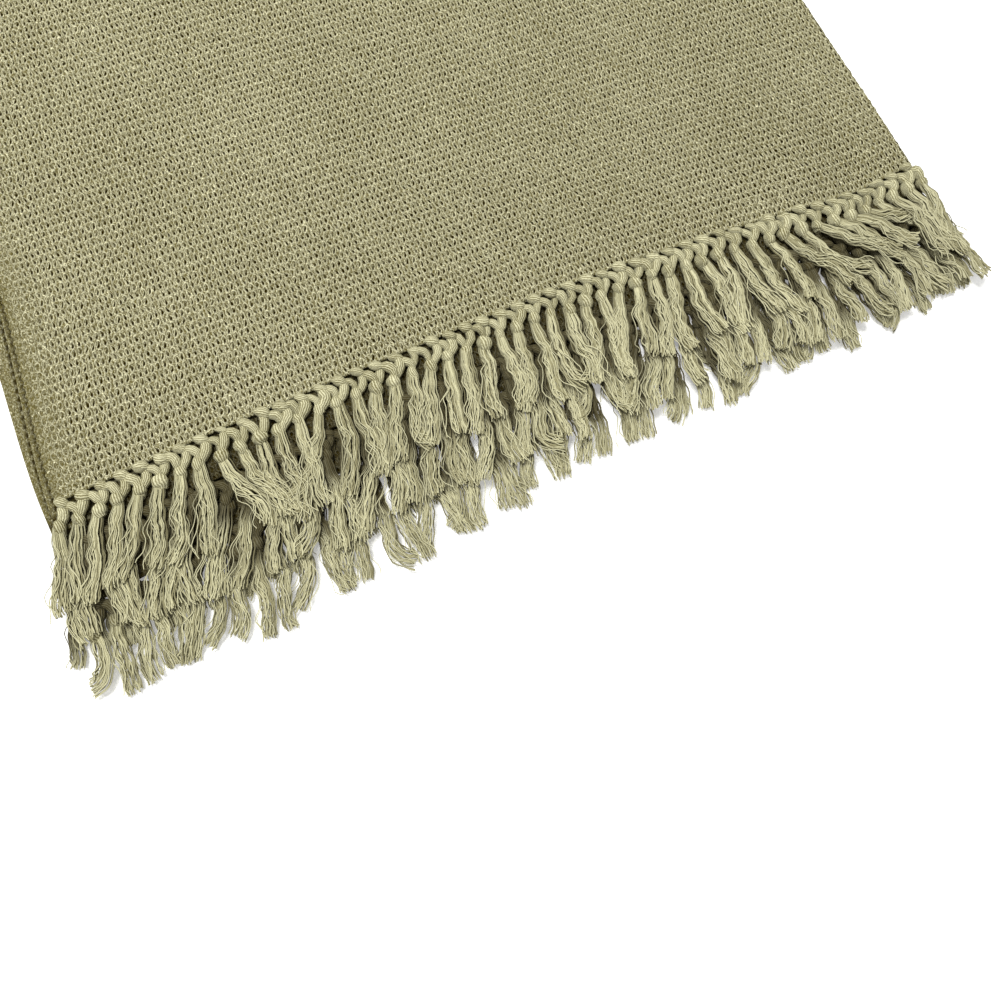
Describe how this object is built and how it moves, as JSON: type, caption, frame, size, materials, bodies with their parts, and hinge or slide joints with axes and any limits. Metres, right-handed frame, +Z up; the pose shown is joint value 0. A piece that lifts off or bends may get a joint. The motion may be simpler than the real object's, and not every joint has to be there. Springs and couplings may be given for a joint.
{
  "type": "folded throw blanket",
  "caption": "Cotton throw blanket in a small cellular weave, folded in half both ways and lying flat, with knotted fringe along its gathered ends.",
  "frame": {"origin": "middle of the underside of the folded heap, on the surface that it lies on", "axes": "+Y from the fringe to the cross fold, +X to the long fold, +Z up"},
  "size_m": [0.7118, 0.9866, 0.0165],
  "materials": {
    "cloth": "matt sage-green cotton in a cellular weave, small dark pits between soft yarn loops",
    "fringe": "matt sage-green cotton yarn, knotted in a net and hanging in loose wavy locks"
  },
  "bodies": {
    "root": {"blanket": "cloth", "fringe_top": "fringe", "fringe_second": "fringe", "fringe_third": "fringe", "fringe_bottom": "fringe"}
  },
  "joints": []
}
